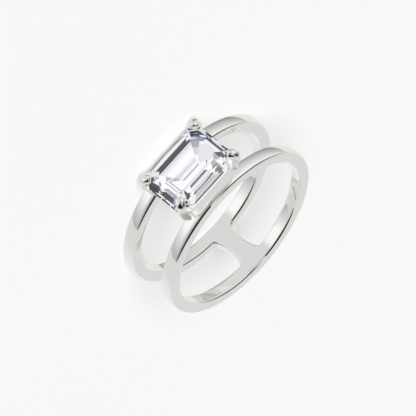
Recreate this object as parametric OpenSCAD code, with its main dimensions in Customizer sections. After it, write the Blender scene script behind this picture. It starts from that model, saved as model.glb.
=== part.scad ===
// Solitaire ring lying on its side: two slim bands joined at the palm side,
// and a four-claw basket that holds one step-cut stone.
// Z is the finger's axis, the head points along -Y, and the stone's length runs along X.
// The origin is on the finger's axis, in the plane that the ring lies on.

/* [Finger hole] */
// Inside diameter of the ring
finger_d = 17.3; // [15:0.1:21]

/* [Bands] */
// Width of one band along the finger
band_w = 1.5; // [1.3:0.1:1.8]
// Clear gap between the two bands
band_gap = 3.97; // [3.6:0.01:4.3]
// Thickness of a band at its edges
band_t = 1.23; // [1:0.01:1.5]
// Rise of the outer face in the middle of a band
band_dome = 0.1; // [0.05:0.01:0.2]

/* [Palm bridge] */
// Narrowest width of the bridge around the finger
bridge_w = 2; // [1.5:0.1:3]
// Radius of its hollowed edges
bridge_bow_r = 4.5; // [4:0.1:8]
// Radius of the fillets where its edges meet the bands
bridge_fillet_r = 0.5; // [0.3:0.05:0.7]
// How far its inner face lies back from the bands' inner walls
bridge_relief = 0.03; // [0.02:0.01:0.1]

/* [Stone] */
// Length across the finger, from girdle to girdle
stone_l = 8; // [7:0.1:9]
// Width along the finger
stone_w = 6.24; // [5.8:0.01:6.6]
// How far each corner is cut back, along both sides
stone_cut = 1; // [0.8:0.05:1.2]
// Length of the table
table_l = 5.3; // [4.6:0.1:5.8]
// Width of the table
table_w = 3.42; // [3:0.01:3.8]
// How far each corner of the table is cut back
table_cut = 0.5; // [0.3:0.05:0.7]
// Length of the keel line at the bottom
keel_l = 2.1; // [1:0.1:3]
// Height of the crown, from the girdle to the table
crown_h = 0.96; // [0.8:0.01:1.2]
// Thickness of the girdle
girdle_t = 0.12; // [0.08:0.01:0.2]
// Depth of the pavilion, from the girdle to the keel
pavilion_h = 2.75; // [2.4:0.01:2.9]
// Height of the girdle's upper edge over the ring's inner wall
girdle_rise = 3.43; // [3.35:0.01:4]

/* [Basket] */
// Width of a claw's shaft
shaft_w = 0.88; // [0.7:0.01:1]
// Thickness of a claw's shaft
shaft_t = 0.66; // [0.5:0.01:0.8]
// How far a claw's shoulder stands out from the girdle's cut corner
shoulder_out = 0.63; // [0.5:0.01:0.7]
// Radius of the shoulder, where the shaft bends over the stone
shoulder_r = 0.9; // [0.85:0.01:1]
// Lean of a shaft towards its foot
shaft_lean = 13; // [8:1:14]
// Width of a claw's tip
tip_w = 1.05; // [0.95:0.01:1.2]
// How far a tip reaches over the crown from the girdle's cut corner
tip_reach = 0.6; // [0.5:0.01:0.7]
// Height of a tip over the girdle
tip_h = 1; // [0.95:0.01:1.2]
// Height of the gallery rail under the girdle
rail_h = 0.62; // [0.5:0.01:0.8]
// Thickness of the gallery rail
rail_t = 0.5; // [0.4:0.01:0.6]

/* [Hidden] */
$fn = 96;

// Clearance between the stone and the metal that holds it
seat_gap = 0.04;
// How deep the bridge runs into the bands, so that they fuse
bite = 0.3;
// How deep each fillet runs into the bowed edge, so that the two cross cleanly
fillet_bite = 0.005;
// How far the shafts' feet stop short of the finger hole, inside the bands
foot_rise = 0.45;
// How far each claw sits towards the stone's end from the middle of the cut corner
claw_spread = 0.18;
// How far a shaft's face lies inside its shoulder
shaft_inset = 0.1;
// Radius of the shoulder's outline, seen from above the head
nose_r = 0.75;

// Ring sizes
hole_r = finger_d / 2;
edge_r = hole_r + band_t;
dome_r = (band_w * band_w / 4 + band_dome * band_dome) / (2 * band_dome);
ring_w = 2 * band_w + band_gap;
mid_z = ring_w / 2;

// Bowed edges of the bridge, and the fillets between them and the bands, seen from the palm
bow_x = bridge_w / 2 + bridge_bow_r;
fillet_z = band_gap / 2 - bridge_fillet_r;
fillet_reach = bridge_bow_r - bridge_fillet_r + fillet_bite;
fillet_x = bow_x - sqrt(fillet_reach * fillet_reach - fillet_z * fillet_z);
toward_fillet = [fillet_x - bow_x, fillet_z] / fillet_reach;
web_root = [bow_x, 0] + toward_fillet * (bridge_bow_r + bite);

// Stone sizes, as half widths square to each family of facets
girdle_h = hole_r + girdle_rise;
corner_half = (stone_l / 2 + stone_w / 2 - stone_cut) / sqrt(2);
table_corner_half = (table_l / 2 + table_w / 2 - table_cut) / sqrt(2);
keel_corner_half = keel_l / 2 / sqrt(2);

// Facet steps, as shares of the way from the girdle to the table or the keel
RISE = 0;
INSET = 1;
CROWN_STEPS = [[0, 0], [0.46, 0.34], [0.75, 0.62], [1, 1]];
PAVILION_STEPS = [[0, 0], [0.25, 0.155], [0.53, 0.375], [0.7, 0.545], [0.86, 0.75], [0.955, 0.9], [1, 1]];

// Claw sizes, measured out from the stone's middle and up from the finger's axis
claw_side = (stone_l - stone_w) / 2 / sqrt(2) + claw_spread;
shoulder_x = corner_half + shoulder_out;
shoulder_h = girdle_h + tip_h - shoulder_r;
tip_x = corner_half - tip_reach;
foot_h = hole_r + foot_rise;

// Places its child over the head, with X turned out from the stone's middle and Y up the head
module on_head(turn) {
    translate([0, 0, mid_z]) rotate([0, -turn, 0]) rotate([180, 0, 0]) children();
}

// Outline of a band: flat inside and at its sides, slightly domed outside
module band_profile() {
    intersection() {
        translate([hole_r, 0]) square([band_t + band_dome, band_w]);
        translate([edge_r + band_dome - dome_r, band_w / 2]) circle(r = dome_r);
    }
}

module bands() {
    for (z = [0, band_w + band_gap]) {
        translate([0, 0, z]) rotate_extrude() band_profile();
    }
}

// Bar between the bands with hollowed edges, seen from the palm
module bridge_bar() {
    difference() {
        square([2 * fillet_x, band_gap + 2 * bite], center = true);
        for (side = [-1, 1]) {
            translate([side * bow_x, 0]) circle(r = bridge_bow_r);
        }
    }
}

// Web that fills one corner between the bar and a band, hollowed by its fillet
module corner_web() {
    web_z = band_gap / 2 + bite;
    difference() {
        polygon([[fillet_x, fillet_z], [fillet_x, web_z], [web_root[0], web_z], web_root]);
        translate([fillet_x, fillet_z]) circle(r = bridge_fillet_r);
    }
}

module bridge() {
    intersection() {
        translate([0, 0, band_w / 2]) {
            rotate_extrude() {
                translate([hole_r + bridge_relief, 0]) square([band_t - bridge_relief, band_w + band_gap]);
            }
        }
        translate([0, edge_r + bite, mid_z]) rotate([90, 0, 0]) linear_extrude(height = 3 * band_t) {
            bridge_bar();
            for (flip_x = [0, 1], flip_z = [0, 1]) {
                mirror([flip_x, 0]) mirror([0, flip_z]) corner_web();
            }
        }
    }
}

// Right half of a stone's outline across one family of facets, from the keel up to the table
function facet_outline(girdle_half, table_half, keel_half, grow) = concat(
    [for (i = [len(PAVILION_STEPS) - 1 : -1 : 0]) let (step = PAVILION_STEPS[i]) [
        girdle_half + grow - step[INSET] * (girdle_half - keel_half),
        girdle_h - girdle_t - grow / 2 - step[RISE] * pavilion_h
    ]],
    [for (step = CROWN_STEPS) [
        girdle_half + grow - step[INSET] * (girdle_half - table_half),
        girdle_h + grow / 2 + step[RISE] * crown_h
    ]]
);

module facet_prism(turn, girdle_half, table_half, keel_half, grow) {
    right = facet_outline(girdle_half, table_half, keel_half, grow);
    left = [for (i = [len(right) - 1 : -1 : 0]) if (right[i][0] > 0) [-right[i][0], right[i][1]]];
    on_head(turn) {
        linear_extrude(height = 2 * stone_l, center = true) polygon(concat(right, left));
    }
}

// Step-cut stone, as what its ends, its long sides and its cut corners leave of each other
module stone_shape(grow) {
    intersection() {
        facet_prism(0, stone_l / 2, table_l / 2, keel_l / 2, grow);
        facet_prism(90, stone_w / 2, table_w / 2, 0, grow);
        facet_prism(45, corner_half, table_corner_half, keel_corner_half, grow);
        facet_prism(-45, corner_half, table_corner_half, keel_corner_half, grow);
    }
}

// Side of a claw's shaft, which leans in towards its foot from just inside the shoulder
module shaft_side() {
    shaft_l = (shoulder_h - foot_h) / cos(shaft_lean);
    translate([shoulder_x - shoulder_r, shoulder_h]) rotate(-shaft_lean) {
        translate([shoulder_r - shaft_inset - shaft_t, -shaft_l]) square([shaft_t, shaft_l]);
    }
}

// Side of a claw's bent end, rounded over the shoulder
module shoulder_side() {
    intersection() {
        translate([shoulder_x - shoulder_r, shoulder_h]) circle(r = shoulder_r);
        translate([tip_x, girdle_h]) square([2 * shoulder_r, tip_h]);
    }
}

// Outline of a claw's bent end, seen from above the head
module tip_plan() {
    intersection() {
        union() {
            translate([tip_x + tip_w / 2, 0]) circle(d = tip_w);
            translate([tip_x + tip_w / 2, -tip_w / 2]) square([shoulder_x - tip_x, tip_w]);
        }
        translate([shoulder_x - nose_r, 0]) circle(r = nose_r);
    }
}

module claw() {
    translate([0, 0, claw_side]) {
        linear_extrude(height = shaft_w, center = true) shaft_side();
        intersection() {
            linear_extrude(height = 2 * tip_w, center = true) shoulder_side();
            translate([0, girdle_h - tip_h, 0]) {
                rotate([-90, 0, 0]) linear_extrude(height = 3 * tip_h) tip_plan();
            }
        }
    }
}

module claws() {
    for (flip_x = [0, 1], flip_z = [0, 1]) {
        mirror([flip_x, 0, 0]) {
            translate([0, 0, mid_z]) mirror([0, 0, flip_z]) translate([0, 0, -mid_z]) on_head(45) claw();
        }
    }
}

// Outline of the gallery rail, seen from above the head
module rail_outline(inset) {
    half_l = stone_l / 2 - inset;
    half_w = stone_w / 2 - inset;
    cut = stone_cut - inset * (2 - sqrt(2));
    polygon([
        [half_l, half_w - cut], [half_l - cut, half_w], [cut - half_l, half_w], [-half_l, half_w - cut],
        [-half_l, cut - half_w], [cut - half_l, -half_w], [half_l - cut, -half_w], [half_l, cut - half_w]
    ]);
}

module rail() {
    translate([0, girdle_t - girdle_h + rail_h, mid_z]) rotate([90, 0, 0]) {
        linear_extrude(height = rail_h) difference() {
            rail_outline(0);
            rail_outline(rail_t);
        }
    }
}

module ring_mounting() {
    color("gainsboro") {
        bands();
        bridge();
        difference() {
            union() {
                claws();
                rail();
            }
            stone_shape(seat_gap);
        }
    }
}

module center_stone() {
    color("azure") stone_shape(0);
}

ring_mounting();
center_stone();
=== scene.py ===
import math

import bmesh
import bpy
from mathutils import Matrix, Vector


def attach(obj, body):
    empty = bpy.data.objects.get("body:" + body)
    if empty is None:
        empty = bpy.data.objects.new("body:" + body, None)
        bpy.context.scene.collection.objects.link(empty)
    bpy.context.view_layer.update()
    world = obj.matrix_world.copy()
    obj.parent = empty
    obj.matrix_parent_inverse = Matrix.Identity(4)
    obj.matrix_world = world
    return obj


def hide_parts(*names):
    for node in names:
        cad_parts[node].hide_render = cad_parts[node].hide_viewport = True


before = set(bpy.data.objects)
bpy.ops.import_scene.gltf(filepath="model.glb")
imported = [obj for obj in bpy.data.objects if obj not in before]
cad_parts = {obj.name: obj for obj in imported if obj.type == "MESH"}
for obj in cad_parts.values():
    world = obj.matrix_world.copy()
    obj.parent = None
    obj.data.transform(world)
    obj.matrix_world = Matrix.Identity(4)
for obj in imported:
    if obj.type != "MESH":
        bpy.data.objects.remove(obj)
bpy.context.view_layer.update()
scene = bpy.context.scene
mm = 0.001  # Blender works in metres, the sizes below are in millimetres
near = 0.001  # mm, places closer together than this count as the same


def startPiece(name, primitive, **settings):
    if bpy.context.mode != "OBJECT":
        bpy.ops.object.mode_set(mode="OBJECT")
    bpy.ops.object.select_all(action="DESELECT")
    getattr(bpy.ops.mesh, "primitive_" + primitive + "_add")(**settings)
    piece = bpy.context.active_object
    piece.name = name
    piece.data.name = name
    bpy.ops.object.transform_apply(location=True, rotation=True, scale=True)
    bpy.ops.object.mode_set(mode="EDIT")
    bpy.ops.mesh.select_mode(type="VERT")
    return piece


def selectWhere(piece, kind, test):
    # selects the verts, edges or faces whose middle passes the test, which reads millimetres
    bpy.ops.mesh.select_mode(type={"verts": "VERT", "edges": "EDGE", "faces": "FACE"}[kind])
    bpy.ops.mesh.select_all(action="DESELECT")
    shape = bmesh.from_edit_mesh(piece.data)
    for part in getattr(shape, kind):
        if kind == "verts":
            middle = part.co
        elif kind == "edges":
            middle = (part.verts[0].co + part.verts[1].co) / 2
        else:
            middle = part.calc_center_median()
        if test(part, middle / mm):
            part.select_set(True)
    shape.select_flush_mode()
    bmesh.update_edit_mesh(piece.data)


def extrude(x=0, y=0, z=0):
    bpy.ops.mesh.extrude_region_move(TRANSFORM_OT_translate={"value": (x * mm, y * mm, z * mm)})


def push(x=0, y=0, z=0):
    bpy.ops.transform.translate(value=(x * mm, y * mm, z * mm))


def cut(point, normal, threshold=1e-7, **settings):
    # verts closer to the plane than the threshold, which is in metres, count as on it
    bpy.ops.mesh.select_all(action="SELECT")
    bpy.ops.mesh.bisect(plane_co=Vector(point) * mm, plane_no=Vector(normal).normalized(),
                        threshold=threshold, **settings)


def finishWith(piece, kind, **settings):
    if bpy.context.mode != "OBJECT":
        bpy.ops.object.mode_set(mode="OBJECT")
    modifier = piece.modifiers.new(kind.title(), kind)
    for name, value in settings.items():
        setattr(modifier, name, value)
    bpy.context.view_layer.objects.active = piece
    bpy.ops.object.modifier_apply(modifier=modifier.name)


def closeUp(piece):
    # merges doubles, turns every face outwards and leaves edit mode
    if bpy.context.mode != "EDIT_MESH":
        bpy.context.view_layer.objects.active = piece
        bpy.ops.object.mode_set(mode="EDIT")
    bpy.ops.mesh.select_all(action="SELECT")
    bpy.ops.mesh.remove_doubles(threshold=2 * near * mm)
    bpy.ops.mesh.normals_make_consistent(inside=False)
    bpy.ops.object.mode_set(mode="OBJECT")


def shadeSmooth(piece, degrees):
    bpy.ops.object.select_all(action="DESELECT")
    piece.select_set(True)
    bpy.context.view_layer.objects.active = piece
    bpy.ops.object.shade_smooth_by_angle(angle=math.radians(degrees))


shank = {
    "holeRadius": 8.65,
    "bandWidth": 1.5,
    "bandGap": 3.97,
    "bandThickness": 1.23,
    "domeRise": 0.1,
    "bridgeHalfWidth": 1.0,
    "bowRadius": 4.5,
    "filletRadius": 0.5,
    "outerRound": 0.16,  # polished edges, from the width of their bright line
    "innerRound": 0.24,
    "bowRows": 10,
    "filletRows": 8,
    "domeRows": 8,
    "outerRows": 6,
    "innerRows": 5,
    "steps": 160,  # round the finger
    "bridgeSteps": 9,  # extra ones to each side of the bridge's middle
    "smoothDegrees": 30,
}


def makeShank():
    # a flat H-shaped strip, laid out like sheet metal, that is then bent round the finger hole
    s = shank
    bendRadius = s["holeRadius"] + s["bandThickness"] / 2
    halfLength = math.pi * bendRadius
    halfGap = s["bandGap"] / 2
    middle = s["bandWidth"] + halfGap
    bowX = s["bridgeHalfWidth"] + s["bowRadius"]
    reach = s["bowRadius"] - s["filletRadius"]
    filletZ = halfGap - s["filletRadius"]
    bowAngle = math.asin(filletZ / reach)
    filletX = bowX - reach * math.cos(bowAngle)
    inside = -s["bandThickness"] / 2
    outside = -inside

    # outline of a quarter of the strip: half bow, fillet, edge of the band, and back to the middle
    start = Vector((s["bridgeHalfWidth"], inside, middle))
    bowCenter = Vector((bowX, inside, middle))
    filletCenter = Vector((filletX, inside, middle + filletZ))
    piece = startPiece("doubleShank", "plane", size=mm, location=start * mm)
    bpy.ops.mesh.select_all(action="SELECT")
    bpy.ops.mesh.merge(type="CENTER")
    bpy.ops.mesh.spin(steps=s["bowRows"], angle=bowAngle, center=bowCenter * mm, axis=(0, -1, 0))
    bpy.ops.mesh.spin(steps=s["filletRows"], angle=math.pi / 2 - bowAngle, center=filletCenter * mm,
                      axis=(0, -1, 0))
    extrude(x=halfLength - filletX)
    extrude(z=s["bandWidth"])
    extrude(x=-halfLength)
    extrude(z=-s["bandWidth"] - halfGap)
    bpy.ops.mesh.select_all(action="SELECT")
    bpy.ops.mesh.remove_doubles(threshold=near * mm)
    bpy.ops.mesh.edge_face_add()
    extrude(y=s["bandThickness"])

    # the strip's own middle planes stay open, and the other three quarters are mirrored across them
    selectWhere(piece, "faces", lambda face, at: abs(at.x) < near or abs(at.z - middle) < near)
    bpy.ops.mesh.delete(type="FACE")
    bpy.ops.mesh.select_all(action="SELECT")
    push(z=-middle)
    finishWith(piece, "MIRROR", use_axis=(True, False, True), use_clip=True, merge_threshold=near * mm)
    closeUp(piece)
    bpy.ops.object.mode_set(mode="EDIT")
    bpy.ops.mesh.select_all(action="SELECT")
    bpy.ops.mesh.dissolve_limited(angle_limit=math.radians(0.01))  # flat faces that meet become one
    bpy.ops.mesh.select_all(action="SELECT")
    push(z=middle)

    # soft polished edges along the outer and the inner rim
    rims = ((outside, s["outerRound"], s["outerRows"]), (inside, s["innerRound"], s["innerRows"]))
    for rim, width, rows in rims:
        selectWhere(piece, "edges",
                    lambda edge, at: abs(at.y - rim) < near and abs(abs(at.x) - halfLength) > near)
        bpy.ops.mesh.bevel(offset=width * mm, segments=rows, profile=0.5, affect="EDGES",
                           clamp_overlap=False)

    # open ends, so that they join once bent
    selectWhere(piece, "faces", lambda face, at: abs(abs(at.x) - halfLength) < near)
    bpy.ops.mesh.delete(type="FACE")

    # cuts round the finger, closer together over the bridge, and along the rows of each dome
    step = 2 * halfLength / s["steps"]
    cuts = [-halfLength + step * i for i in range(1, s["steps"])]
    cuts += [step * (i + 0.5) for i in range(-s["bridgeSteps"], s["bridgeSteps"])]
    for x in cuts:
        cut((x, 0, 0), (1, 0, 0))
    halfDome = s["bandWidth"] / 2 - s["outerRound"]
    domeRows = [halfDome * (2 * i / s["domeRows"] - 1) for i in range(1, s["domeRows"])]
    bandMiddles = (s["bandWidth"] / 2, s["bandWidth"] * 1.5 + s["bandGap"])
    for bandMiddle in bandMiddles:
        for row in domeRows:
            cut((0, 0, bandMiddle + row), (0, 0, 1))

    # the outer face of each band is raised row by row to its dome, and its soft edges with it
    domeRadius = (s["bandWidth"] ** 2 / 4 + s["domeRise"] ** 2) / (2 * s["domeRise"])
    turns = [math.pi / 2 * i / s["outerRows"] for i in range(s["outerRows"])]
    edgeRows = [halfDome + s["outerRound"] * math.sin(turn) for turn in turns]
    for bandMiddle in bandMiddles:
        for row in domeRows + edgeRows + [-row for row in edgeRows]:
            z = bandMiddle + row
            selectWhere(piece, "verts",
                        lambda vert, at: abs(at.z - z) < near and at.y > outside - s["outerRound"])
            push(y=math.sqrt(domeRadius ** 2 - row ** 2) - domeRadius + s["domeRise"])

    bpy.ops.object.mode_set(mode="OBJECT")
    finishWith(piece, "SIMPLE_DEFORM", deform_method="BEND", deform_axis="Z", angle=-2 * math.pi)
    bpy.ops.object.mode_set(mode="EDIT")
    bpy.ops.mesh.select_all(action="SELECT")
    push(y=bendRadius)
    closeUp(piece)
    shadeSmooth(piece, s["smoothDegrees"])
    return piece


doubleShank = makeShank()
print("shank bent, dimensions", [round(c / mm, 3) for c in doubleShank.dimensions])


stone = {
    "middleHeight": 3.485,  # middle of the head along the finger
    "lengthX": 8.0,
    "widthZ": 6.24,
    "cornerCut": 1.0,
    "tableLength": 5.3,
    "tableWidth": 3.42,
    "tableCut": 0.5,
    "keelLength": 2.1,
    "girdleHeight": 12.08,  # from the finger's axis
    "girdleThickness": 0.12,
    "crownHeight": 0.96,
    "pavilionDepth": 2.75,
    # shares of the way from the girdle, up and in, where each step of facets ends
    "crownSteps": ((0, 0), (0.46, 0.34), (0.75, 0.62), (1, 1)),
    "pavilionSteps": ((0, 0), (0.25, 0.155), (0.53, 0.375), (0.7, 0.545), (0.86, 0.75), (0.955, 0.9), (1, 1)),
    "seatClearance": 1.008,  # the seats are cut this much larger than the stone
}


def makeStone(name, grow):
    # cut like the real one: a block, then one flat facet after another
    s = stone
    piece = startPiece(name, "cube", size=2 * s["lengthX"] * mm,
                       location=(0, -s["girdleHeight"] * mm, s["middleHeight"] * mm))

    def grind(turn, distance, height, out, up):
        # takes off all that stands out beyond one plane
        side = (math.cos(turn), math.sin(turn))
        cut((side[0] * distance, -height, s["middleHeight"] + side[1] * distance),
            (side[0] * out, -up, side[1] * out), threshold=1e-8, clear_outer=True, use_fill=True)

    # each family of facets: its turn, and its half widths at the girdle, the table and the keel
    cornerHalf = (s["lengthX"] / 2 + s["widthZ"] / 2 - s["cornerCut"]) / math.sqrt(2)
    tableCorner = (s["tableLength"] / 2 + s["tableWidth"] / 2 - s["tableCut"]) / math.sqrt(2)
    keelCorner = s["keelLength"] / 2 / math.sqrt(2)
    families = (
        (0, s["lengthX"] / 2, s["tableLength"] / 2, s["keelLength"] / 2),
        (90, s["widthZ"] / 2, s["tableWidth"] / 2, 0),
        (45, cornerHalf, tableCorner, keelCorner),
        (135, cornerHalf, tableCorner, keelCorner),
    )
    lowGirdle = s["girdleHeight"] - s["girdleThickness"]
    grind(0, 0, s["girdleHeight"] + s["crownHeight"] * grow, 0, 1)
    for degrees, girdle, table, keel in families:
        girdle, table, keel = girdle * grow, table * grow, keel * grow
        crown = (s["crownSteps"], table, s["girdleHeight"], s["crownHeight"] * grow)
        pavilion = (s["pavilionSteps"], keel, lowGirdle, -s["pavilionDepth"] * grow)
        for turn in (math.radians(degrees), math.radians(degrees + 180)):
            grind(turn, girdle, s["girdleHeight"], 1, 0)
            for steps, far, start, depth in (crown, pavilion):
                for (riseA, inA), (riseB, inB) in zip(steps, steps[1:]):
                    inward = (inB - inA) * (girdle - far)
                    grind(turn, girdle - inA * (girdle - far), start + riseA * depth,
                          abs((riseB - riseA) * depth), math.copysign(inward, depth))
    closeUp(piece)
    return piece


rail = {
    "height": 0.62,
    "thickness": 0.5,
    "edgeRound": 0.07,
    "edgeRows": 3,
    "edgeDegrees": 30,  # edges sharper than this are rounded
}


def makeRail():
    s = stone
    top = s["girdleThickness"] - s["girdleHeight"]
    center = Vector((0, top, s["middleHeight"]))
    piece = startPiece("galleryRail", "plane", size=mm, location=center * mm,
                       rotation=(math.pi / 2, 0, 0))
    bpy.ops.mesh.select_all(action="SELECT")
    bpy.ops.transform.resize(value=(s["lengthX"], 1, s["widthZ"]), center_override=center * mm)
    cornerOut = (s["lengthX"] / 2 + s["widthZ"] / 2 - s["cornerCut"]) / 2
    for sideX in (-1, 1):
        for sideZ in (-1, 1):
            corner = (sideX * cornerOut, top, s["middleHeight"] + sideZ * cornerOut)
            cut(corner, (sideX, 0, sideZ), clear_outer=True)
    bpy.ops.mesh.select_all(action="SELECT")
    extrude(y=rail["height"])
    selectWhere(piece, "faces", lambda face, at: abs(face.normal.y) > 0.5)
    bpy.ops.mesh.delete(type="ONLY_FACE")
    closeUp(piece)
    finishWith(piece, "SOLIDIFY", thickness=rail["thickness"] * mm, offset=-1, use_even_offset=True)
    finishWith(piece, "BEVEL", width=rail["edgeRound"] * mm, segments=rail["edgeRows"],
               limit_method="ANGLE", angle_limit=math.radians(rail["edgeDegrees"]))
    return piece


claw = {
    # heights are from the finger's axis, and shoulderOut and tipOut are from the stone's middle
    "shaftWidth": 0.88,
    "shaftThickness": 0.66,
    "leanDegrees": 13,
    "footHeight": 9.15,  # hidden inside the band
    "shoulderOut": 4.957,
    "shoulderHeight": 12.18,
    "shoulderRadius": 0.9,
    "shaftInset": 0.08,
    "shaftRows": (0.45, 0.3, 0.15),  # shares of the shaft's length, from its foot up
    "swellRow": 0.1,  # the last share, where the shaft widens to the bead
    "creaseEnd": 0.35,  # the shaft's edges are creased up to this far under the shoulder's centre
    "creaseRise": 0.2,  # an edge that rises more than this runs along the shaft
    "beadWidth": 1.08,
    "beadThickness": 0.92,
    "beadProud": 0.05,
    "beadRows": 4,
    "tipOut": 3.62,
    "sideOffset": 0.802,
    "shaftCrease": 0.8,
    "smoothing": 3,
    "smoothDegrees": 35,  # for the rail too
    # each claw was bent to the stone by hand: its name, whether it is mirrored across the head's length
    # and its width, by how many degrees it is leaned out, and how far out its foot is set
    "copies": (
        ("claw1", False, False, -11, 0.19),
        ("claw2", True, False, 5, 0),
        ("claw3", False, True, 0, 0),
        ("claw4", True, True, 5, 0),
    ),
}


def makeClaw():
    # modelled upright: X points out from the stone's middle, Y up the head, Z sideways
    c = claw
    lean = math.radians(c["leanDegrees"])
    pivot = Vector((c["shoulderOut"] - c["shoulderRadius"], c["shoulderHeight"], 0))
    up = Vector((math.sin(lean), math.cos(lean), 0))
    out = Vector((math.cos(lean), -math.sin(lean), 0))
    length = (c["shoulderHeight"] - c["footHeight"]) / math.cos(lean)
    shaftOut = c["shoulderRadius"] - c["shaftInset"] - c["shaftThickness"] / 2
    beadOut = c["shoulderRadius"] - c["beadThickness"] / 2 + c["beadProud"]
    foot = pivot + out * shaftOut - up * length
    piece = startPiece("uprightClaw", "plane", size=mm, location=foot * mm, rotation=(math.pi / 2, 0, 0))
    bpy.ops.mesh.select_all(action="SELECT")
    bpy.ops.transform.resize(value=(c["shaftThickness"], 1, c["shaftWidth"]), center_override=foot * mm)
    bpy.ops.transform.rotate(value=lean, orient_axis="Z", center_override=foot * mm)
    for share in c["shaftRows"]:
        extrude(*(up * length * share))
    # the section swells into the bead as it comes up to the shoulder
    extrude(*(up * length * c["swellRow"] + out * (beadOut - shaftOut)))
    swollen = (pivot + out * beadOut) * mm
    swell = (c["beadThickness"] / c["shaftThickness"], 1, c["beadWidth"] / c["shaftWidth"])
    bpy.ops.transform.rotate(value=-lean, orient_axis="Z", center_override=swollen)
    bpy.ops.transform.resize(value=swell, center_override=swollen)
    bpy.ops.transform.rotate(value=lean, orient_axis="Z", center_override=swollen)
    bpy.ops.mesh.spin(steps=c["beadRows"], angle=math.pi / 2 + lean, center=pivot * mm, axis=(0, 0, -1))
    extrude(x=c["tipOut"] - pivot.x)

    # the shaft stays flat with soft edges, the bead becomes round
    def alongShaft(edge, at):
        rise = abs(edge.verts[0].co.y - edge.verts[1].co.y) / mm
        return at.y < c["shoulderHeight"] - c["creaseEnd"] and rise > c["creaseRise"]

    selectWhere(piece, "edges", alongShaft)
    bpy.ops.transform.edge_crease(value=c["shaftCrease"])
    closeUp(piece)
    finishWith(piece, "SUBSURF", levels=c["smoothing"], render_levels=c["smoothing"])
    return piece, foot


def placeClaw(upright, foot, name, flipX, flipZ, lean, footOut):
    piece = upright.copy()
    piece.data = upright.data.copy()
    piece.name = piece.data.name = name
    scene.collection.objects.link(piece)
    bpy.ops.object.select_all(action="DESELECT")
    piece.select_set(True)
    bpy.context.view_layer.objects.active = piece
    bpy.ops.object.mode_set(mode="EDIT")
    bpy.ops.mesh.select_all(action="SELECT")
    bpy.ops.transform.rotate(value=math.radians(lean), orient_axis="Z", center_override=foot * mm)
    push(x=footOut)
    bpy.ops.object.mode_set(mode="OBJECT")
    # from upright to its corner of the head
    headMiddle = Vector((0, 0, stone["middleHeight"])) * mm
    toCorner = Matrix.Rotation(-math.pi / 4, 4, "Y") @ Matrix.Rotation(math.pi, 4, "X")
    sideways = Matrix.Translation((0, 0, claw["sideOffset"] * mm))
    piece.matrix_world = Matrix.Translation(headMiddle) @ toCorner @ sideways
    bpy.ops.object.transform_apply(location=True, rotation=True, scale=True)
    bpy.ops.object.mode_set(mode="EDIT")
    bpy.ops.mesh.select_all(action="SELECT")
    bpy.ops.transform.resize(value=(-1 if flipX else 1, 1, -1 if flipZ else 1),
                             center_override=headMiddle)
    closeUp(piece)
    return piece


def makeBasket():
    # the rail and the claws, with the seats for the stone cut into them
    cutter = makeStone("seatCutter", stone["seatClearance"])
    pieces = [makeRail()]
    upright, foot = makeClaw()
    pieces += [placeClaw(upright, foot, *settings) for settings in claw["copies"]]
    for piece in pieces:
        finishWith(piece, "BOOLEAN", operation="DIFFERENCE", solver="EXACT", object=cutter)
        closeUp(piece)
        shadeSmooth(piece, claw["smoothDegrees"])
    bpy.data.objects.remove(upright)
    bpy.data.objects.remove(cutter)
    return pieces[0], pieces[1:]


stepCutStone = makeStone("stepCutStone", 1)
galleryRail, claws = makeBasket()
print("basket made, a claw has", len(claws[0].data.polygons), "faces")


def channels(hexColour):
    return [int(hexColour[i:i + 2], 16) / 255 for i in (1, 3, 5)]


def linear(hexColour):
    # turns an sRGB hex value to Blender's linear colour
    return [v / 12.92 if v <= 0.04045 else ((v + 0.055) / 1.055) ** 2.4 for v in channels(hexColour)] + [1]


def addNode(tree, kind, inputs=None, **settings):
    # an input takes a value, or another node's output as a link
    node = tree.nodes.new(kind)
    for name, value in settings.items():
        setattr(node, name, value)
    for key, value in (inputs or {}).items():
        if isinstance(value, bpy.types.NodeSocket):
            tree.links.new(value, node.inputs[key])
        else:
            node.inputs[key].default_value = value
    return node


def newMaterial(name):
    material = bpy.data.materials.new(name)
    material.use_nodes = True
    material.node_tree.nodes.clear()
    return material, material.node_tree


polish = {
    "colour": "#F3F2F0",
    "smoothest": 0.035,
    "roughest": 0.085,
    "filedSmoothest": 0.15,  # the claws, filed and buffed by hand
    "filedRoughest": 0.2,
    "wearSize": 2.5,  # mm, clouds of finer and coarser polish
    "rippleSize": 4.0,  # mm, the slow waves that hand polishing leaves
    "rippleDepth": 0.0012,
}


def rhodiumPlate(name, smoothest, roughest):
    # rhodium-plated sterling silver, polished: white with a faint warmth, its polish a little uneven
    material, tree = newMaterial(name)
    place = addNode(tree, "ShaderNodeTexCoord").outputs["Object"]
    wear = addNode(tree, "ShaderNodeTexNoise", {"Vector": place, "Scale": 1 / (polish["wearSize"] * mm),
                                                "Detail": 3})
    gloss = addNode(tree, "ShaderNodeMapRange", {"Value": wear.outputs["Fac"], "From Min": 0.3,
                                                 "From Max": 0.7, "To Min": smoothest, "To Max": roughest})
    ripple = addNode(tree, "ShaderNodeTexNoise", {"Vector": place, "Scale": 1 / (polish["rippleSize"] * mm),
                                                  "Detail": 1})
    bump = addNode(tree, "ShaderNodeBump", {"Height": ripple.outputs["Fac"], "Strength": 1,
                                            "Distance": polish["rippleDepth"] * mm})
    metal = addNode(tree, "ShaderNodeBsdfPrincipled", {
        "Base Color": linear(polish["colour"]), "Metallic": 1.0, "Roughness": gloss.outputs["Result"],
        "Normal": bump.outputs["Normal"]})
    addNode(tree, "ShaderNodeOutputMaterial", {"Surface": metal.outputs["BSDF"]})
    return material


gem = {
    "ior": 2.17,
    "clear": "#FFFFFF",
    "faintTint": "#FEFEFF",
    "tintSize": 3.0,  # mm, zones of the grown crystal
}


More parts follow.
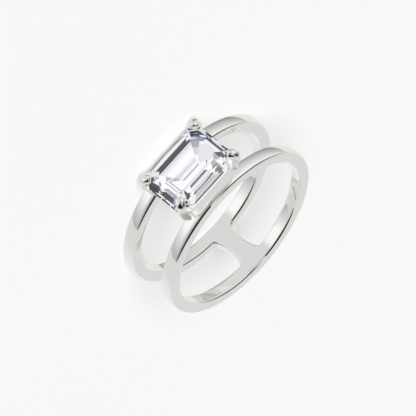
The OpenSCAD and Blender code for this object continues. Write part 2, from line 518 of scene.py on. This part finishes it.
def cubicZirconia():
    # colourless cubic zirconia with polished facets: clear and bright, with a bluish trace in zones
    material, tree = newMaterial("clearCubicZirconia")
    place = addNode(tree, "ShaderNodeTexCoord").outputs["Object"]
    zones = addNode(tree, "ShaderNodeTexNoise", {"Vector": place, "Scale": 1 / (gem["tintSize"] * mm),
                                                 "Detail": 1})
    tint = addNode(tree, "ShaderNodeMix", {"Factor": zones.outputs["Fac"], 6: linear(gem["clear"]),
                                           7: linear(gem["faintTint"])}, data_type="RGBA")
    glass = addNode(tree, "ShaderNodeBsdfGlass", {"Color": tint.outputs[2], "IOR": gem["ior"],
                                                  "Roughness": 0.0})
    addNode(tree, "ShaderNodeOutputMaterial", {"Surface": glass.outputs["BSDF"]})
    return material


polished = rhodiumPlate("polishedRhodiumPlate", polish["smoothest"], polish["roughest"])
filed = rhodiumPlate("filedRhodiumPlate", polish["filedSmoothest"], polish["filedRoughest"])
for piece in [doubleShank, galleryRail] + claws:
    piece.data.materials.clear()
    piece.data.materials.append(filed if piece in claws else polished)
    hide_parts("ring_mounting")
    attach(piece, "root")

stepCutStone.data.materials.append(cubicZirconia())
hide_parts("center_stone")
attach(stepCutStone, "root")

# the bands under the head mirror plain light, as on the real ring, and not the claws and the stone
for piece in [stepCutStone] + claws:
    piece.visible_glossy = False
print("materials set")


studio = {
    "domeColour": "#FFFFFF",
    "domeLevel": 0.2,  # for matt surfaces, from all round
    "backdrop": "#F9FAF8",
    "metalLevel": 1.08,
    "metalBackground": "#DADADA",
    "stoneLevel": 1.14,
    "stoneBackground": "#F3F3F5",
    # metal that is seen in metal mirrors the cards mixed with this colour
    "secondMirrorColour": "#E6E6E6",
    "secondMirrorShare": 0.45,
    "lampLevel": 2.15,
    "lampDegrees": 40,  # its width in the sky, for soft shadows
    "lampDirection": (-0.1, 0.75, -0.65),
    "bounces": 32,
}

# soft light cards round the table: compass angles from the head towards +X (left, right) and heights
# (low, high), how soft each of those four edges is, all in degrees, and the colours at the corners low left,
# low right, high left and high right, as they would look in polished metal
metalCards = [
    ((120, 215, -65, 2), (30, 20, 20, 12), ("#E2E2E2", "#ECECEC", "#E8E8E8", "#F0F0F0")),
    ((-165, -119, -70, 12), (15, 2, 20, 12), ("#E4E3E0", "#E4E3E0", "#E8E7E4", "#E8E7E4")),
    ((-121, -94, -62, 0), (2, 4, 10, 8), ("#343434", "#6C6C6C", "#F4F4F4", "#FFFFFF")),
    ((-96, -48, -62, 0), (4, 12, 10, 8), ("#6C6C6C", "#A0A0A0", "#FFFFFF", "#FFFFFF")),
    ((-121, -48, 0, 66), (2, 12, 8, 20), ("#B4B4B4", "#F4F4F4", "#A8A8A8", "#6C6C6C")),
    ((-62, 4, -10, 34), (10, 6, 8, 12), ("#FAFAFA", "#F6F6F6", "#F6F6F6", "#F0F0F0")),
    ((20, 44, -75, -14), (12, 4, 12, 3), ("#FAFAFA", "#FAFAFA", "#FCFCFC", "#FCFCFC")),
    ((42, 83, -75, -14), (4, 2, 12, 3), ("#FFFFFF", "#BCBCBC", "#FFFFFF", "#B0B0B0")),
    ((-26, 8, -19, 14), (14, 4, 4, 8), ("#E4E4E4", "#F4F4F4", "#585858", "#2C2C2C")),
    ((4, 82, -16, -8), (5, 2, 2, 2), ("#FFFFFF", "#BCBCBC", "#F0F0F0", "#B0B0B0")),
    ((4, 82, -9, 8), (5, 2, 2, 2), ("#F0F0F0", "#B0B0B0", "#242424", "#202020")),
    ((5, 81, 7, 76), (4, 3, 2, 6), ("#222222", "#202020", "#101010", "#101010")),
    ((-121, -20, 30, 80), (2, 12, 14, 6), ("#6A6A6A", "#6A6A6A", "#1E1E1E", "#1E1E1E")),
]

# cards that show only through the stone, in one colour each: every facet sees a few of them by way of the
# pavilion, so they draw the stone's pattern of bright, dark and blue
stoneCards = [
    # steep down, what the near long side and the right half of the table show
    ((-180, 180, -95, -72), (1, 1, 3, 3), ("#D6D6E0",)),
    ((170, 215, -82, -77.5), (6, 6, 1, 1), ("#202028",)),
    ((170, 215, -66, -58), (6, 6, 2, 2), ("#584C46",)),
    # steep up, what the far long side and the left half of the table show
    ((-180, 180, 66, 78), (1, 1, 4, 4), ("#D2D0DE",)),
    ((150, 210, 48, 57), (6, 6, 3, 3), ("#A0A4AE",)),
    ((-80, 20, 81, 95), (1, 1, 2, 1), ("#101116",)),
    # straight through the table, to the back
    ((150, 215, 2, 15), (3, 3, 3, 3), ("#C2C6D2",)),
    # right end and its corners
    ((118, 150, -30, 60), (2, 4, 4, 4), ("#0C0E24",)),
    ((108, 118, -30, 60), (2, 2, 4, 4), ("#D4DAEA",)),
    ((98, 107, -30, 60), (2, 2, 4, 4), ("#1E2442",)),
    ((76, 96, 16, 50), (2, 4, 2, 2), ("#14172A",)),
    ((68, 76, 24, 50), (2, 4, 2, 2), ("#7E88A4",)),
    ((40, 66, 28, 40), (3, 3, 3, 3), ("#D0D0DA",)),
    ((84, 90, 16, 26), (2, 2, 2, 2), ("#4A78E0",)),
    ((40, 92, -16, 8), (4, 4, 4, 4), ("#DADADF",)),
    ((86, 100, -34, -16), (2, 3, 4, 2), ("#2A2C3A",)),
    ((64, 80, -34, -16), (2, 2, 4, 2), ("#A8A29C",)),
    ((100, 125, -80, -40), (3, 3, 4, 4), ("#221E20",)),
    ((60, 80, -80, -55), (3, 3, 3, 3), ("#716A66",)),
    # left end and its corners
    ((-145, -122, -40, 60), (4, 3, 4, 4), ("#302E38",)),
    ((-110, -94, -40, 60), (3, 3, 4, 4), ("#181A24",)),
    ((-93, -86, -40, 8), (2, 3, 4, 4), ("#9498A4",)),
    ((-93, -83, 14, 50), (3, 2, 4, 4), ("#10142A",)),
    ((-81, -70, 14, 36), (2, 3, 4, 4), ("#7C8498",)),
    ((-80, -72, -66, -20), (2, 2, 4, 2), ("#0A0E24",)),
    ((-93, -83, -56, -44), (2, 2, 3, 3), ("#1A1A22",)),
    ((-122, -112, -66, -44), (3, 3, 3, 3), ("#383230",)),
    # the keel's own narrow facets, thin lines in the table
    ((-40, 20, -62, -52), (3, 3, 1, 1), ("#8C96B4",)),
    ((-40, 20, -68.6, -66.3), (3, 3, 0.8, 0.8), ("#5C5E68",)),
]


def hangCards(tree, cards, background, compass, turned, height):
    # the cards' colours are mixed as the eye sees them, and turned to light at the end
    colour = channels(background) + [1]
    for (left, right, low, high), softness, corners in cards:
        angle = turned if right > 180 else compass  # at the back, the angle that doesn't jump there
        edges = ((angle, left, True), (angle, right, False), (height, low, True), (height, high, False))
        cover = 1.0
        for (reading, edge, opens), soft in zip(edges, softness):
            before, after = (0.0, cover) if opens else (cover, 0.0)
            cover = addNode(tree, "ShaderNodeMapRange", {
                "Value": reading, "From Min": math.radians(edge - soft / 2),
                "From Max": math.radians(edge + soft / 2), "To Min": before, "To Max": after,
            }, interpolation_type="SMOOTHSTEP").outputs["Result"]
        # four corners are mixed across to two, and these upwards to one
        shades = [channels(corner) + [1] for corner in corners]
        for reading, start, end in ((angle, left, right), (height, low, high)):
            if len(shades) > 1:
                share = addNode(tree, "ShaderNodeMapRange", {
                    "Value": reading, "From Min": math.radians(start), "From Max": math.radians(end),
                }).outputs["Result"]
                shades = [addNode(tree, "ShaderNodeMix", {0: share, 6: first, 7: second},
                                  data_type="RGBA").outputs[2]
                          for first, second in zip(shades[::2], shades[1::2])]
        colour = addNode(tree, "ShaderNodeMix", {0: cover, 6: colour, 7: shades[0]},
                         data_type="RGBA").outputs[2]
    return addNode(tree, "ShaderNodeGamma", {"Color": colour, "Gamma": 2.2}).outputs["Color"]


def makeLight():
    world = bpy.data.worlds.new("studioLight")
    scene.world = world
    world.use_nodes = True
    tree = world.node_tree
    tree.nodes.clear()

    # where a ray looks, as a compass angle and a height
    direction = addNode(tree, "ShaderNodeTexCoord").outputs["Generated"]
    axes = addNode(tree, "ShaderNodeSeparateXYZ", {0: direction}).outputs
    ahead = addNode(tree, "ShaderNodeMath", {0: axes["Y"], 1: -1.0}, operation="MULTIPLY").outputs[0]
    compass = addNode(tree, "ShaderNodeMath", {0: axes["X"], 1: ahead}, operation="ARCTAN2").outputs[0]
    turned = addNode(tree, "ShaderNodeMath", {0: compass, 1: 2 * math.pi},
                     operation="FLOORED_MODULO").outputs[0]
    height = addNode(tree, "ShaderNodeMath", {0: axes["Z"]}, operation="ARCSINE").outputs[0]

    # what the metal mirrors, paler where it is seen in metal, and what shows through the stone
    seen = addNode(tree, "ShaderNodeLightPath").outputs
    inMetal = hangCards(tree, metalCards, studio["metalBackground"], compass, turned, height)
    again = addNode(tree, "ShaderNodeMath", {0: seen["Glossy Depth"], 1: 1.5},
                    operation="GREATER_THAN").outputs[0]
    paler = addNode(tree, "ShaderNodeMath", {0: again, 1: studio["secondMirrorShare"]},
                    operation="MULTIPLY").outputs[0]
    inMetal = addNode(tree, "ShaderNodeMix", {0: paler, 6: inMetal, 7: linear(studio["secondMirrorColour"])},
                      data_type="RGBA").outputs[2]
    inStone = hangCards(tree, stoneCards, studio["stoneBackground"], compass, turned, height)
    fromStone = addNode(tree, "ShaderNodeMath", {0: seen["Transmission Depth"], 1: 0.5},
                        operation="GREATER_THAN").outputs[0]

    # each kind of ray gets its own light
    onMetal, onStone, dome, plain = (
        addNode(tree, "ShaderNodeBackground", {"Color": colour, "Strength": level}).outputs[0]
        for colour, level in ((inMetal, studio["metalLevel"]), (inStone, studio["stoneLevel"]),
                              (linear(studio["domeColour"]), studio["domeLevel"]),
                              (linear(studio["backdrop"]), 1.0)))
    light = addNode(tree, "ShaderNodeMixShader", {0: fromStone, 1: onMetal, 2: onStone}).outputs[0]
    light = addNode(tree, "ShaderNodeMixShader", {0: seen["Is Diffuse Ray"], 1: light, 2: dome}).outputs[0]
    light = addNode(tree, "ShaderNodeMixShader", {0: seen["Is Camera Ray"], 1: light, 2: plain}).outputs[0]
    addNode(tree, "ShaderNodeOutputWorld", {"Surface": light})

    lamp = bpy.data.lights.new("softKey", "SUN")
    lamp.energy = studio["lampLevel"]
    lamp.angle = math.radians(studio["lampDegrees"])
    holder = bpy.data.objects.new("softKey", lamp)
    holder.rotation_euler = Vector(studio["lampDirection"]).to_track_quat("-Z", "Y").to_euler()
    holder.visible_glossy = False
    holder.visible_transmission = False
    scene.collection.objects.link(holder)


table = {
    "size": 4000,
    "drop": 0.004,  # lies this far under the ring, so that no faces coincide
    "colour": "#F6F7F5",
    "cloudColour": "#E8E9E7",
    "cloudScale": 12.0,  # to the metre
    "leastColour": 0.97,  # share of the colour where a cloud is thickest
    "roughness": 0.6,
    "glow": 0.35,  # stands in for the light that a white room sends back under the ring
}


def makeTable():
    floor = startPiece("table", "plane", size=table["size"] * mm, location=(0, 0, -table["drop"] * mm))
    bpy.ops.object.mode_set(mode="OBJECT")
    # matt white paint: even and pale, its clouds almost too faint to see
    material, tree = newMaterial("whiteTable")
    place = addNode(tree, "ShaderNodeTexCoord").outputs["Object"]
    clouds = addNode(tree, "ShaderNodeTexNoise", {"Vector": place, "Scale": table["cloudScale"], "Detail": 2})
    share = addNode(tree, "ShaderNodeMapRange", {"Value": clouds.outputs["Fac"],
                                                 "To Min": table["leastColour"], "To Max": 1.0})
    colour = addNode(tree, "ShaderNodeMix", {"Factor": share.outputs["Result"],
                                             6: linear(table["cloudColour"]), 7: linear(table["colour"])},
                     data_type="RGBA").outputs[2]
    paint = addNode(tree, "ShaderNodeBsdfPrincipled", {
        "Base Color": colour, "Roughness": table["roughness"], "Emission Color": colour,
        "Emission Strength": table["glow"]})
    addNode(tree, "ShaderNodeOutputMaterial", {"Surface": paint.outputs["BSDF"]})
    floor.data.materials.append(material)
    floor.visible_glossy = False
    floor.visible_transmission = False


view = {
    # fitted to the photo
    "place": (34.62879, -246.91632, 115.64014),
    "turnDegrees": (-54.07844, -45.12419, 160.78853),
    "lens": 233.3,
    "sensorWidth": 36,
    "nearest": 10,
    "farthest": 10000,
}


def makeCamera():
    camera = bpy.data.cameras.new("camera")
    camera.lens = view["lens"]
    camera.sensor_width = view["sensorWidth"]
    camera.clip_start = view["nearest"] * mm
    camera.clip_end = view["farthest"] * mm
    holder = bpy.data.objects.new("camera", camera)
    holder.location = Vector(view["place"]) * mm
    holder.rotation_euler = [math.radians(degrees) for degrees in view["turnDegrees"]]
    scene.collection.objects.link(holder)
    scene.camera = holder


makeLight()
makeTable()
makeCamera()
scene.view_settings.view_transform = "Standard"
scene.cycles.transmission_bounces = studio["bounces"]
scene.cycles.glossy_bounces = studio["bounces"]
scene.cycles.max_bounces = studio["bounces"]
print("studio set")
